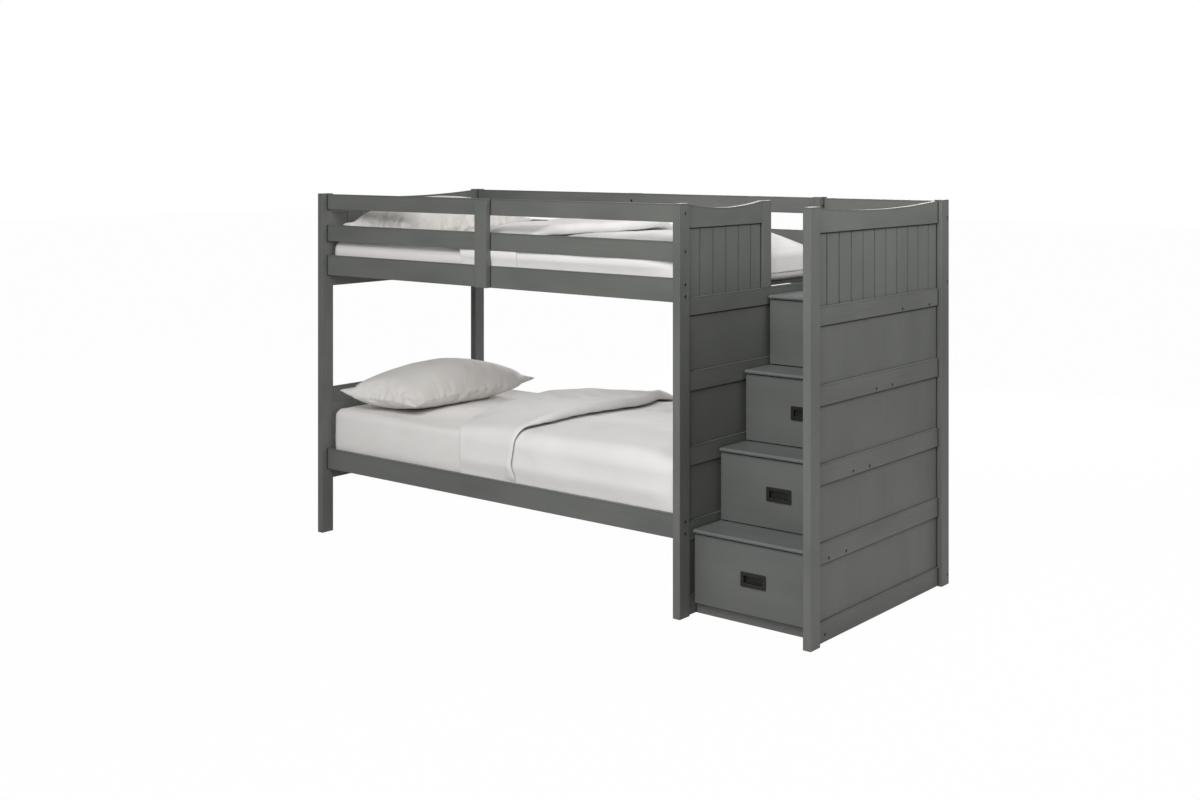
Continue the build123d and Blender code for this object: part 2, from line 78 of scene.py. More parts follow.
def add_object(name, data):
    """An object of the scene that holds this data."""
    made = bpy.data.objects.new(name, data)
    bpy.context.scene.collection.objects.link(made)
    return made


camera_data = bpy.data.cameras.new("camera")
camera_data.sensor_width = 36.0
camera_data.lens = 45.28
camera_data.shift_x = 0.0417
camera_data.shift_y = -0.2091
camera = add_object("camera", camera_data)
camera.location = (3.9234, -5.0877, 1.7307)
camera.rotation_euler = (math.pi / 2, 0.0, 0.6989)
bpy.context.scene.camera = camera

FLOOR_REACH = 30.0  # metres from the middle to each edge
FLOOR_GLOW = 0.985  # share of plain white in the floor that the camera sees
SURROUND_LIGHT = 0.13  # strength of the surround as a light; the camera sees it at 1.0

floor_mesh = bpy.data.meshes.new("studio_floor")
floor_mesh.from_pydata([(FLOOR_REACH * x, FLOOR_REACH * y, 0)
                        for x, y in ((-1, -1), (1, -1), (1, 1), (-1, 1))], [], [(0, 1, 2, 3)])
floor = add_object("studio_floor", floor_mesh)
floor_paint, tree = new_material("studio_floor_paint")
matt = add_node(tree, "ShaderNodeBsdfDiffuse", {"Color": srgb("#cfcfcf")}).outputs[0]
glow = add_node(tree, "ShaderNodeEmission", {"Color": (1, 1, 1, 1), "Strength": 1.0}).outputs[0]
floor_seen = add_node(tree, "ShaderNodeLightPath").outputs["Is Camera Ray"]
share = add_node(tree, "ShaderNodeMath", {0: floor_seen, 1: FLOOR_GLOW},
                 operation="MULTIPLY").outputs[0]
lit_floor = add_node(tree, "ShaderNodeMixShader", {0: share, 1: matt, 2: glow}).outputs[0]
add_node(tree, "ShaderNodeOutputMaterial", {"Surface": lit_floor})
floor_mesh.materials.append(floor_paint)

world = bpy.data.worlds.new("studio_surround")
world.use_nodes = True
tree = world.node_tree
tree.nodes.clear()
world_seen = add_node(tree, "ShaderNodeLightPath").outputs["Is Camera Ray"]
strength = add_node(tree, "ShaderNodeMapRange",
                    {"Value": world_seen, "To Min": SURROUND_LIGHT,
                     "To Max": 1.0}).outputs["Result"]
surround = add_node(tree, "ShaderNodeBackground",
                    {"Color": (1, 1, 1, 1), "Strength": strength}).outputs["Background"]
add_node(tree, "ShaderNodeOutputWorld", {"Surface": surround})
bpy.context.scene.world = world
bpy.context.scene.view_settings.view_transform = "Standard"


def soft_light(name, place, aim, side, power):
    """A square area light with this side in metres and power in watts, turned to shine at aim."""
    data = bpy.data.lights.new(name, "AREA")
    data.shape = "SQUARE"
    data.size = side
    data.energy = power
    lamp = add_object(name, data)
    lamp.location = place
    way = np.subtract(aim, place)
    yaw = math.atan2(way[0], -way[1])
    tilt = math.acos(-way[2] / np.linalg.norm(way))
    lamp.rotation_euler = (tilt, 0.0, yaw + math.pi)


soft_light("front_light", (2.4, -5.8, 3.2), (0.6, 0.0, 0.8), 3.0, 138)
soft_light("high_light", (1.2, -3.4, 4.0), (0.3, 0.0, 0.9), 2.0, 108)
soft_light("side_light", (2.5, 0.0, 2.6), (1.2, 0.0, 1.0), 1.2, 33)
soft_light("back_light", (-0.8, 4.6, 2.4), (0.0, 0.0, 0.7), 4.0, 205)


# ---- painted frame -----------------------------------------------------------------------
# Posts, cross rails, long rails, cleats and plinth: planed hardwood boards, sprayed with
# satin grey paint.  The grain telegraphs through as faint long ridges.  The colour is painted
# darker as painted shade in grooves, joints and just under ledges, and paler along every arris,
# partly worn paint and partly a painted highlight.
GREY_PAINT = "#6b6d69"
# arrises: partly worn paint, partly a painted highlight
GREY_WORN_AND_HIGHLIGHT = "#8b8d88"
GREY_DEEP = "#5f615e"
# colour of the painted shade in grooves, joints and just under ledges
GREY_PAINTED_SHADE = "#30322f"
PAINTED_SHADE_REACH = 0.007  # metres within which a groove, joint or overhang casts painted shade
PAINTED_SHADE_LEAN_UP = 0.8  # how far the painted shade looks for cover from above rather than straight out


def finish_material(tree, inputs):
    """Closes a tree with a Principled shader that has these inputs."""
    shader = add_node(tree, "ShaderNodeBsdfPrincipled", inputs)
    add_node(tree, "ShaderNodeOutputMaterial", {"Surface": shader.outputs["BSDF"]})


def along_grain(tree, along, across_mm, length_mm):
    """Object coordinates divided by a feature's size: length_mm along one axis, and across_mm on
    the two others."""
    size = [across_mm / 1000] * 3
    size["XYZ".index(along)] = length_mm / 1000
    place = add_node(tree, "ShaderNodeTexCoord").outputs["Object"]
    scale = [1 / s for s in size]
    return add_node(tree, "ShaderNodeMapping", {"Vector": place, "Scale": scale}).outputs["Vector"]


def arris_mask(tree, radius):
    """1 on an arris and 0 on a flat, from how far the rounded normal leans from the true one, and
    the rounded normal itself."""
    rounded = add_node(tree, "ShaderNodeBevel", {"Radius": radius}, samples=4).outputs["Normal"]
    true = add_node(tree, "ShaderNodeNewGeometry").outputs["Normal"]
    lean = add_node(tree, "ShaderNodeVectorMath", {0: rounded, 1: true},
                    operation="DOT_PRODUCT").outputs["Value"]
    edge = add_node(tree, "ShaderNodeMapRange",
                    {"Value": lean, "From Min": 0.995, "From Max": 0.90}).outputs["Result"]
    return edge, rounded


def free_of_painted_shade(tree):
    """Mask for painted shade: 1 on open faces and on up-facing ledges, and 0 deep in grooves,
    joints and just under overhangs, from ambient occlusion looked for mostly from above.
    """
    normal = add_node(tree, "ShaderNodeNewGeometry").outputs["Normal"]
    height = add_node(tree, "ShaderNodeSeparateXYZ", {"Vector": normal}).outputs["Z"]
    raised = add_node(tree, "ShaderNodeVectorMath", {0: normal, 1: (0, 0, PAINTED_SHADE_LEAN_UP)},
                      operation="ADD").outputs[0]
    skyward = add_node(tree, "ShaderNodeVectorMath", {0: raised}, operation="NORMALIZE").outputs[0]
    light = add_node(tree, "ShaderNodeAmbientOcclusion", {"Distance": PAINTED_SHADE_REACH, "Normal": skyward},
                     samples=8).outputs["AO"]
    share = add_node(tree, "ShaderNodeMapRange",
                     {"Value": light, "From Min": 0.64, "From Max": 0.97}).outputs["Result"]
    return add_node(tree, "ShaderNodeMath", {0: share, 1: height}, operation="MAXIMUM").outputs[0]


def painted_wood(name, along, paint=GREY_PAINT, deep=GREY_DEEP, worn_and_highlight=GREY_WORN_AND_HIGHLIGHT,
                 grain_mm=0.16, arris_mm=2.0, streak=0.035):
    """Satin paint over planed wood whose grain runs along one axis.  Grain ridges are 5 mm apart
    and 180 mm long, coarser than real ones so that they show.  Painted shade darkens grooves,
    joints and faces just under a ledge but not up-facing ledges, and arrises are painted paler,
    partly worn paint and partly a painted highlight."""
    made, tree = new_material(name)
    ridges = add_node(tree, "ShaderNodeTexNoise",
                      {"Vector": along_grain(tree, along, 5, 180), "Scale": 1.0, "Detail": 3.0,
                       "Roughness": 0.6}).outputs["Fac"]
    clouds = add_node(tree, "ShaderNodeTexNoise",
                      {"Vector": along_grain(tree, along, 160, 420), "Scale": 1.0,
                       "Detail": 2.0}).outputs["Fac"]
    peel = add_node(tree, "ShaderNodeTexNoise",
                    {"Vector": along_grain(tree, along, 2.2, 2.2), "Scale": 1.0,
                     "Detail": 1.0}).outputs["Fac"]
    # 1 where no painted shade falls, 0 in grooves, joints and just under ledges
    no_painted_shade = free_of_painted_shade(tree)
    edge, rounded = arris_mask(tree, arris_mm / 1000)
    blotch = add_node(tree, "ShaderNodeMapRange",
                      {"Value": clouds, "From Min": 0.25, "From Max": 0.6}).outputs["Result"]
    tone = add_node(tree, "ShaderNodeMix", {0: blotch, 6: srgb(deep), 7: srgb(paint)},
                    data_type="RGBA").outputs[2]
    line = add_node(tree, "ShaderNodeMapRange",
                    {"Value": ridges, "From Min": 0.3, "From Max": 0.7, "To Min": 1 - streak,
                     "To Max": 1 + streak}).outputs["Result"]
    toned = add_node(tree, "ShaderNodeVectorMath", {0: tone, "Scale": line},
                     operation="SCALE").outputs[0]
    # paler arrises, kept off the painted shade: partly worn paint and partly a painted highlight
    wear_and_highlight = add_node(tree, "ShaderNodeMath", {0: edge, 1: no_painted_shade}, operation="MULTIPLY").outputs[0]
    worn = add_node(tree, "ShaderNodeMix", {0: wear_and_highlight, 6: toned, 7: srgb(worn_and_highlight)},
                    data_type="RGBA").outputs[2]
    # painted shade: the shade colour is mixed in where the mask is low
    colour = add_node(tree, "ShaderNodeMix", {0: no_painted_shade, 6: srgb(GREY_PAINTED_SHADE), 7: worn},
                      data_type="RGBA").outputs[2]
    gloss = add_node(tree, "ShaderNodeMapRange",
                     {"Value": ridges, "From Min": 0.3, "From Max": 0.7, "To Min": 0.50,
                      "To Max": 0.40}).outputs["Result"]
    grain = add_node(tree, "ShaderNodeBump",
                     {"Height": ridges, "Distance": grain_mm / 1000, "Strength": 0.6,
                      "Normal": rounded}).outputs["Normal"]
    skin = add_node(tree, "ShaderNodeBump",
                    {"Height": peel, "Distance": 0.00006, "Strength": 0.5,
                     "Normal": grain}).outputs["Normal"]
    finish_material(tree, {"Base Color": colour, "Roughness": gloss, "Normal": skin, "IOR": 1.5})
    return made


def coat(material, *names):
    """Gives CAD nodes this material on every slot."""
    for name in names:
        for held in nodes[name].material_slots:
            held.material = material


paint_up = painted_wood("satin_paint_upright", "Z")
paint_across = painted_wood("satin_paint_across", "Y")
paint_long = painted_wood("satin_paint_long", "X")

for side in ("front", "back"):
    coat(paint_up, f"left_{side}_post", f"inner_{side}_post", f"outer_{side}_post")
    coat(paint_long, f"upper_{side}_side_rail", f"lower_{side}_side_rail",
         f"{side}_top_guard_rail", f"{side}_middle_guard_rail")
coat(paint_up, "inner_stile", "guard_centre_boards")
coat(paint_across, "head_top_rail", "inner_top_rail", "outer_top_rail", "head_lower_rail",
     "lower_head_rails", "inner_entry_rail", "outer_entry_rail", "inner_cross_rails",
     "outer_cross_rails", "tread_cleats", "drawer_runners")
coat(paint_long, "stair_back_rails", "stair_plinth", "slat_cleats")


# ---- panels ------------------------------------------------------------------------------
# Thin boards that float in grooves of the posts and rails: beaded above, plain below.
# The same paint over fibreboard, so the surface is smoother and nearly without grain.
panel_paint = painted_wood("satin_paint_panel", "Z", paint="#6a6c68", deep="#646662",
                           grain_mm=0.04, arris_mm=0.7, streak=0.012)
coat(panel_paint, "head_beadboard", "inner_beadboard", "outer_beadboard", "lower_head_panel",
     "inner_panels", "outer_panels")


# ---- slats -------------------------------------------------------------------------------
# Planed laths lie loose across the cleats and carry the mattress.  They have one thin coat
# of the frame's grey, so the lines of the wood show through more than on the rails.
# its paler arrises are partly worn paint and partly a painted highlight, as on the frame
slat_paint = painted_wood("thin_paint_slat", "Y", paint="#5f615e", deep="#4f504d",
                          worn_and_highlight="#7d7d76", grain_mm=0.5)
coat(slat_paint, "bed_slats")


# ---- treads ------------------------------------------------------------------------------
# Four boards with a full round nosing, in the same paint.  The grain is open and shows as
# fine ridges along the tread, and the nosing is painted paler, partly worn by feet and partly a
# painted highlight.
STEPS = (1, 2, 3, 4)  # counted from the floor, for treads and drawers
tread_paint = painted_wood("satin_paint_tread", "X", paint="#707472", deep="#686c6a",
                           worn_and_highlight="#b2b6b3", grain_mm=0.6, arris_mm=5.0, streak=0.10)
coat(tread_paint, *[f"tread_{k}" for k in STEPS])


# ---- drawers -----------------------------------------------------------------------------
# Painted fronts on boxes of clear-lacquered poplar.  Each front has a pressed steel pull,
# sunk in its middle, with a near-black enamel that is worn grey along the rim.
def bare_wood(name, along, pale, dark, line_mm, roughness):
    """Planed wood: late-wood lines about line_mm apart and 400 mm long, wavy along the board, with
    pores of 1.5 by 30 mm, coarser than real ones so that they show."""
    made, tree = new_material(name)
    warp = add_node(tree, "ShaderNodeTexNoise",
                    {"Vector": along_grain(tree, along, 60, 500), "Scale": 1.0,
                     "Detail": 2.0}).outputs["Fac"]
    lines = add_node(tree, "ShaderNodeTexNoise",
                     {"Vector": along_grain(tree, along, line_mm, 400), "Scale": 1.0,
                      "Detail": 2.0, "Distortion": 0.4}).outputs["Fac"]
    pores = add_node(tree, "ShaderNodeTexNoise",
                     {"Vector": along_grain(tree, along, 1.5, 30), "Scale": 1.0,
                      "Detail": 2.0}).outputs["Fac"]
    late = add_node(tree, "ShaderNodeMath", {0: warp, 1: lines}, operation="MULTIPLY").outputs[0]
    share = add_node(tree, "ShaderNodeMapRange",
                     {"Value": late, "From Min": 0.16, "From Max": 0.36}).outputs["Result"]
    tone = add_node(tree, "ShaderNodeMix", {0: share, 6: srgb(dark), 7: srgb(pale)},
                    data_type="RGBA").outputs[2]
    bump = add_node(tree, "ShaderNodeBump",
                    {"Height": pores, "Distance": 0.0002, "Strength": 0.5}).outputs["Normal"]
    rough = add_node(tree, "ShaderNodeMapRange",
                     {"Value": pores, "To Min": roughness - 0.08,
                      "To Max": roughness + 0.08}).outputs["Result"]
    finish_material(tree, {"Base Color": tone, "Roughness": rough, "Normal": bump})
    return made


def enamelled_steel(name, enamel, worn, roughness):
    """Pressed steel under dark enamel.  The worn colour shows on arrises, in small spots of wear
    6 mm apart."""
    made, tree = new_material(name)
    spots = add_node(tree, "ShaderNodeTexNoise",
                     {"Vector": along_grain(tree, "Z", 6, 6), "Scale": 1.0,
                      "Detail": 4.0}).outputs["Fac"]
    edge, rounded = arris_mask(tree, 0.0012)
    rub = add_node(tree, "ShaderNodeMath", {0: edge, 1: spots}, operation="MULTIPLY").outputs[0]
    tone = add_node(tree, "ShaderNodeMix", {0: rub, 6: srgb(enamel), 7: srgb(worn)},
                    data_type="RGBA").outputs[2]
    rough = add_node(tree, "ShaderNodeMapRange",
                     {"Value": spots, "To Min": roughness - 0.1,
                      "To Max": roughness + 0.1}).outputs["Result"]
    bump = add_node(tree, "ShaderNodeBump",
                    {"Height": spots, "Distance": 0.00015, "Strength": 0.4,
                     "Normal": rounded}).outputs["Normal"]
    finish_material(tree, {"Base Color": tone, "Metallic": 0.35, "Roughness": rough,
                           "Normal": bump})
    return made


drawer_paint = painted_wood("satin_paint_drawer", "X", paint="#666866", deep="#5e605e")
box_wood = bare_wood("lacquered_poplar", "X", "#cbb083", "#a98a5c", 14, 0.42)
pull_steel = enamelled_steel("black_enamelled_steel", "#262725", "#85857f", 0.42)
for k in STEPS:
    coat(drawer_paint, f"drawer_{k}_front")
    coat(box_wood, f"drawer_{k}_box")
    coat(pull_steel, f"drawer_{k}_pull")


# ---- bolts -------------------------------------------------------------------------------
# Steel bolts with round heads, sunk below the faces of posts and rails, with a black oxide
# finish that is a little greyer along the rims.
coat(enamelled_steel("black_oxide_steel", "#141414", "#3a3a38", 0.5), "frame_bolts")


# ---- mattresses --------------------------------------------------------------------------
# A foam and spring block in a fitted cotton sheet: square with soft edges, nearly flat on
# top, its sides bulging slightly, with shallow pulls in the cloth down the sides.
def waves(x, y, seed, count, short, long, ridged=0.0):
    """Sum of count plane waves with seeded directions and wavelengths between short and long
    metres, scaled to about -1..1.  ridged blends in 1 - 2|sin|, which makes narrow creases."""
    rng = np.random.default_rng(seed)
    total = np.zeros(np.broadcast(x, y).shape)
    for _ in range(count):
        turn = rng.uniform(0, 2 * np.pi)
        k = 2 * np.pi / np.exp(rng.uniform(np.log(short), np.log(long)))
        phase = (x * np.cos(turn) + y * np.sin(turn)) * k + rng.uniform(0, 2 * np.pi)
        smooth = np.sin(phase)
        total += (1 - ridged) * smooth + ridged * (1 - 2 * np.abs(np.sin(phase / 2)))
    return total / np.sqrt(count)


def smoothstep(t):
    """3t^2 - 2t^3 of t held between 0 and 1."""
    t = np.clip(t, 0.0, 1.0)
    return t * t * (3 - 2 * t)


def grid_faces(rows, columns, start):
    """Quads between neighbours of a rows by columns grid whose first vertex is number start."""
    first = start + np.arange(rows - 1)[:, None] * columns + np.arange(columns - 1)[None, :]
    corners = [first, first + 1, first + columns + 1, first + columns]
    return np.stack(corners, axis=-1).reshape(-1, 4)


def add_smooth_object(name, mesh):
    """An object with this mesh, shaded smooth."""
    mesh.polygons.foreach_set("use_smooth", np.ones(len(mesh.polygons), dtype=bool))
    return add_object(name, mesh)


def build_from_grids(name, grids, weld=1e-5):
    """One closed mesh from grids of points (rows, columns, 3) that share their borders.
    Coincident vertices are welded and faces are turned outwards."""
    points = np.concatenate([g.reshape(-1, 3) for g in grids])
    faces = []
    start = 0
    for g in grids:
        faces.append(grid_faces(g.shape[0], g.shape[1], start))
        start += g.shape[0] * g.shape[1]
    mesh = bpy.data.meshes.new(name)
    mesh.from_pydata(points.tolist(), [], np.concatenate(faces).tolist())
    bm = bmesh.new()
    bm.from_mesh(mesh)
    bmesh.ops.remove_doubles(bm, verts=bm.verts, dist=weld)
    bmesh.ops.dissolve_degenerate(bm, edges=bm.edges, dist=weld)
    bmesh.ops.recalc_face_normals(bm, faces=bm.faces)
    if bm.calc_volume(signed=True) < 0:
        bmesh.ops.reverse_faces(bm, faces=bm.faces)
    bm.to_mesh(mesh)
    bm.free()
    return add_smooth_object(name, mesh)


def box_faces(low, high, step):
    """Six grids over the faces of a box, with the same spacing wherever two faces meet."""
    counts = [max(2, int(round((b - a) / step)) + 1) for a, b in zip(low, high)]
    axes = [np.linspace(a, b, n) for a, b, n in zip(low, high, counts)]
    grids = []
    for fixed in range(3):
        u, v = [i for i in range(3) if i != fixed]
        for value in (low[fixed], high[fixed]):
            first, second = np.meshgrid(axes[u], axes[v], indexing="ij")
            g = np.empty(first.shape + (3,))
            g[..., fixed] = value
            g[..., u] = first
            g[..., v] = second
            grids.append(g)
    return grids


def round_box(p, low, high, radius, swell=0.0):
    """Moves points of a box onto the box rounded by radius: the point clamped to the inner box,
    plus radius and swell along the direction from there.  swell may be an array."""
    inner = np.clip(p, np.asarray(low) + radius, np.asarray(high) - radius)
    way = p - inner
    way /= np.maximum(np.linalg.norm(way, axis=-1, keepdims=True), 1e-9)
    return inner + way * (radius + np.broadcast_to(swell, p.shape[:-1]))[..., None]


def cotton(name, colour, shade, seed):
    """Plain-woven washed cotton.  Threads are drawn 1.8 mm apart, coarser than the real 0.3 mm, so
    that they show close up.  Lint of about 2 mm and crumples of 12 to 60 mm break up the light,
    and colour and shade blend over about 200 mm."""
    made, tree = new_material(name)
    place = add_node(tree, "ShaderNodeTexCoord").outputs["Object"]
    own = (seed, seed * 0.7, seed * 0.3)
    shifted = add_node(tree, "ShaderNodeMapping", {"Vector": place, "Location": own}).outputs[0]
    lint = add_node(tree, "ShaderNodeTexNoise",
                    {"Vector": shifted, "Scale": 420.0, "Detail": 1.0}).outputs["Fac"]
    crumple = add_node(tree, "ShaderNodeTexNoise",
                       {"Vector": shifted, "Scale": 22.0, "Detail": 3.0, "Roughness": 0.45,
                        "Distortion": 0.6}).outputs["Fac"]
    broad = add_node(tree, "ShaderNodeTexNoise",
                     {"Vector": shifted, "Scale": 5.0, "Detail": 2.0}).outputs["Fac"]
    bands = {"Vector": shifted, "Scale": 170.0, "Distortion": 0.4}
    warp = add_node(tree, "ShaderNodeTexWave", bands, wave_type="BANDS",
                    bands_direction="X").outputs["Fac"]
    weft = add_node(tree, "ShaderNodeTexWave", bands, wave_type="BANDS",
                    bands_direction="DIAGONAL").outputs["Fac"]
    threads = add_node(tree, "ShaderNodeMath", {0: warp, 1: weft}, operation="MAXIMUM").outputs[0]
    share = add_node(tree, "ShaderNodeMapRange",
                     {"Value": broad, "From Min": 0.3, "From Max": 0.7}).outputs["Result"]
    tone = add_node(tree, "ShaderNodeMix", {0: share, 6: srgb(shade), 7: srgb(colour)},
                    data_type="RGBA").outputs[2]
    weave = add_node(tree, "ShaderNodeBump",
                     {"Height": threads, "Distance": 0.00012, "Strength": 0.35}).outputs["Normal"]
    fuzz = add_node(tree, "ShaderNodeBump",
                    {"Height": lint, "Distance": 0.0002, "Strength": 0.3,
                     "Normal": weave}).outputs["Normal"]
    folds = add_node(tree, "ShaderNodeBump",
                     {"Height": crumple, "Distance": 0.003, "Strength": 0.35,
                      "Normal": fuzz}).outputs["Normal"]
    rough = add_node(tree, "ShaderNodeMapRange",
                     {"Value": lint, "To Min": 0.78, "To Max": 0.92}).outputs["Result"]
    finish_material(tree, {"Base Color": tone, "Roughness": rough, "Normal": folds,
                           "Sheen Weight": 0.15, "Sheen Roughness": 0.5,
                           "Specular IOR Level": 0.3})
    return made


BUNKS = ("lower", "upper")
MATTRESS_EDGE = {"lower": 0.034, "upper": 0.030}  # radius of every edge, in metres
MATTRESS_GRID = 0.011  # spacing of its points
MATTRESS_BELLY = 0.003  # how far the sides bulge at mid height
PULL_DEPTH = 0.0008  # of the pulls down the sides
HOLLOW_DEPTH = 0.0012  # of the hollows on top
TOP_SINK = 0.002  # how far the top lies under the box, so that the hollows' rims stay inside it
sheet_cotton = cotton("washed_cotton_sheet", "#e9e6e4", "#e4e1de", 1.3)
for bunk in BUNKS:
    low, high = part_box(f"{bunk}_mattress")
    grids = []
    for g in box_faces(low, high, MATTRESS_GRID):
        x, y, z = np.moveaxis(g, -1, 0)
        depth = high[2] - z
        on_top = (depth < 1e-6).astype(float)
        pulls = waves(x + y, z * 2.2, 5, 14, 0.05, 0.35, ridged=0.35)
        hollows = waves(x, y, 9, 16, 0.08, 0.6, ridged=0.25)
        side = (1 - on_top) * smoothstep(depth / 0.05)
        belly = np.sin(np.pi * np.clip(depth / (high[2] - low[2]), 0, 1))
        swell = side * (PULL_DEPTH * pulls + MATTRESS_BELLY * belly)
        swell += on_top * (HOLLOW_DEPTH * hollows - TOP_SINK)
        grids.append(round_box(g, low, high, MATTRESS_EDGE[bunk], swell))
    mattress = build_from_grids(f"{bunk}_mattress_in_sheet", grids)
    mattress.data.materials.append(sheet_cotton)
    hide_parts(f"{bunk}_mattress")
    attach(mattress, "bed")


# ---- pillows -----------------------------------------------------------------------------
# A filled pillow in a cotton case: two sheets sewn together round the border.  The filling
# blows it up, the seam gathers into small puckers and the corners stay pointed; then it
# settles on the mattress.
CASE_LENGTH = 0.90  # of the flat case, along Y, in metres
CASE_WIDTH = 0.50  # of the flat case, along X
GATHERED = 0.045  # height from the seam over which the cloth is gathered
SMOOTHED = 0.075  # height from the seam at which smoothing is full; the seam keeps its gathers
SEAM_HEIGHT = 0.058  # of the seam's middle over the mattress
UNDERSIDE = 0.070  # how far the lower half would hang under the seam; the mattress flattens it
CROWN_SPARE = 0.009  # added to the crown, which the subdivision lowers again
REST = 0.006  # height at which the underside begins to press on the mattress
WELT = 0.006  # how far the seam stands out
PUCKER = 0.0055  # depth of the seam's puckers
PILLOW_CORNERS = {  # X and Y as shares of the pillow's box, and height over the mattress in metres
    "lower": ((0.05, -0.02, 0.088), (0.93, 0.08, 0.042), (0.99, 1.01, 0.084), (0.06, 0.93, 0.070)),
    "upper": ((0.05, 0.00, 0.075), (0.95, 0.03, 0.050), (0.98, 1.00, 0.080), (0.05, 0.96, 0.070)),
}


def sewn_case(name, length, width, step, rise):
    """Two grids joined at the border, width along X and length along Y.  For a, b = -1..1 the
    height is rise * ((1 - a^2)(1 - b^2))^0.36 and each side draws in by 1.5 % between corners."""
    a, b = np.meshgrid(np.linspace(-1, 1, int(round(width / step)) + 1),
                       np.linspace(-1, 1, int(round(length / step)) + 1), indexing="ij")
    height = rise * np.clip((1 - a ** 2) * (1 - b ** 2), 0, 1) ** 0.36
    x = a * width / 2 * (1 - 0.015 * (1 - b ** 2))
    y = b * length / 2 * (1 - 0.015 * (1 - a ** 2))
    halves = [np.stack([x, y, height], axis=-1), np.stack([x, y, -height], axis=-1)]
    return build_from_grids(name, halves)


def blow_up(obj, frames, pressure, gather):
    """Runs Blender's cloth on obj with air pressure and no gravity, the cloth near the seam
    shrinking by the share gather, and returns where its points end up."""
    seam = obj.vertex_groups.new(name="seam")
    for v in obj.data.vertices:
        seam.add([v.index], math.exp(-(v.co.z / GATHERED) ** 2), "REPLACE")
    cloth = obj.modifiers.new("cloth", "CLOTH")
    cloth.settings.quality = 6
    cloth.settings.mass = 0.25
    cloth.settings.tension_stiffness = 14.0
    cloth.settings.compression_stiffness = 14.0
    cloth.settings.shear_stiffness = 6.0
    cloth.settings.bending_stiffness = 2.5
    cloth.settings.vertex_group_shrink = "seam"
    cloth.settings.shrink_min = 0.0
    cloth.settings.shrink_max = gather
    cloth.settings.use_pressure = True
    cloth.settings.uniform_pressure_force = pressure
    cloth.settings.effector_weights.gravity = 0.0
    cloth.collision_settings.use_collision = False
    cloth.collision_settings.use_self_collision = False
    cloth.point_cache.frame_start = 1
    cloth.point_cache.frame_end = frames
    for f in range(1, frames + 1):
        bpy.context.scene.frame_set(f)
    shape = obj.evaluated_get(bpy.context.evaluated_depsgraph_get())
    points = np.empty(len(shape.data.vertices) * 3)
    shape.data.vertices.foreach_get("co", points)
    obj.modifiers.remove(cloth)
    bpy.context.scene.frame_set(1)
    return points.reshape(-1, 3)


def relax(points, ends, share, rounds):
    """In each round, every point moves by its share of a quarter of the way to each neighbour.
    ends holds both point numbers of every edge."""
    for _ in range(rounds):
        pull = np.zeros_like(points)
        np.add.at(pull, ends[:, 0], points[ends[:, 1]] - points[ends[:, 0]])
        np.add.at(pull, ends[:, 1], points[ends[:, 0]] - points[ends[:, 1]])
        points = points + share * pull / 4
    return points


case = sewn_case("pillow_case_pattern", CASE_LENGTH, CASE_WIDTH, step=0.0075, rise=0.105)
pattern = np.array([v.co for v in case.data.vertices])
filled = blow_up(case, frames=22, pressure=5.0, gather=0.09)
case_edges = np.array([tuple(e.vertices) for e in case.data.edges])
case_faces = [tuple(p.vertices) for p in case.data.polygons]
bpy.data.objects.remove(case)
off_seam = smoothstep(np.abs(pattern[:, 2:]) / SMOOTHED)
filled = relax(filled, case_edges, 0.6 * off_seam, rounds=9)
p = filled / np.abs(filled).max(axis=0)
weights = [(1 - p[:, 0]) * (1 - p[:, 1]) / 4, (1 + p[:, 0]) * (1 - p[:, 1]) / 4,
           (1 + p[:, 0]) * (1 + p[:, 1]) / 4, (1 - p[:, 0]) * (1 + p[:, 1]) / 4]
across = 2 * pattern[:, 0] / CASE_WIDTH
along = 2 * pattern[:, 1] / CASE_LENGTH
cornered = np.abs(across * along) ** 1.6
near_seam = np.exp(-np.abs(p[:, 2]) / 0.22)
gathers = waves(pattern[:, 0], pattern[:, 1], 11, 16, 0.024, 0.07, ridged=0.6)
pucker = near_seam * PUCKER * gathers
welt = WELT * np.exp(-(p[:, 2] / 0.04) ** 2)
outward = p * (1.0, 1.0, 0.6)
outward /= np.linalg.norm(outward, axis=1, keepdims=True)
pillow_cotton = cotton("washed_cotton_pillowcase", "#dfdcd8", "#d9d6d2", 4.1)
for bunk in BUNKS:
    low, high = (np.array(c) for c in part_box(f"{bunk}_pillow"))
    corners = np.array(PILLOW_CORNERS[bunk])
    points = sum(w[:, None] * c for w, c in zip(weights, corners))
    points[:, :2] = low[:2] + points[:, :2] * (high - low)[:2]
    lift = (points[:, 2] - SEAM_HEIGHT) * cornered
    crown = high[2] - low[2] + CROWN_SPARE - SEAM_HEIGHT
    z = SEAM_HEIGHT + lift + p[:, 2] * np.where(p[:, 2] > 0, crown, UNDERSIDE)
    z = np.where(z < REST, REST + 0.005 * np.tanh((z - REST) / 0.03), z)
    points[:, 2] = low[2] + z
    points += outward * (pucker + welt)[:, None]
    mesh = bpy.data.meshes.new(f"{bunk}_pillow_in_case")
    mesh.from_pydata(points.tolist(), [], case_faces)
    mesh.materials.append(pillow_cotton)
    pillow = add_smooth_object(f"{bunk}_pillow_in_case", mesh)
    smooth = pillow.modifiers.new("subdivision", "SUBSURF")
    smooth.levels = 1
    smooth.render_levels = 1
    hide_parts(f"{bunk}_pillow")
    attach(pillow, "bed")


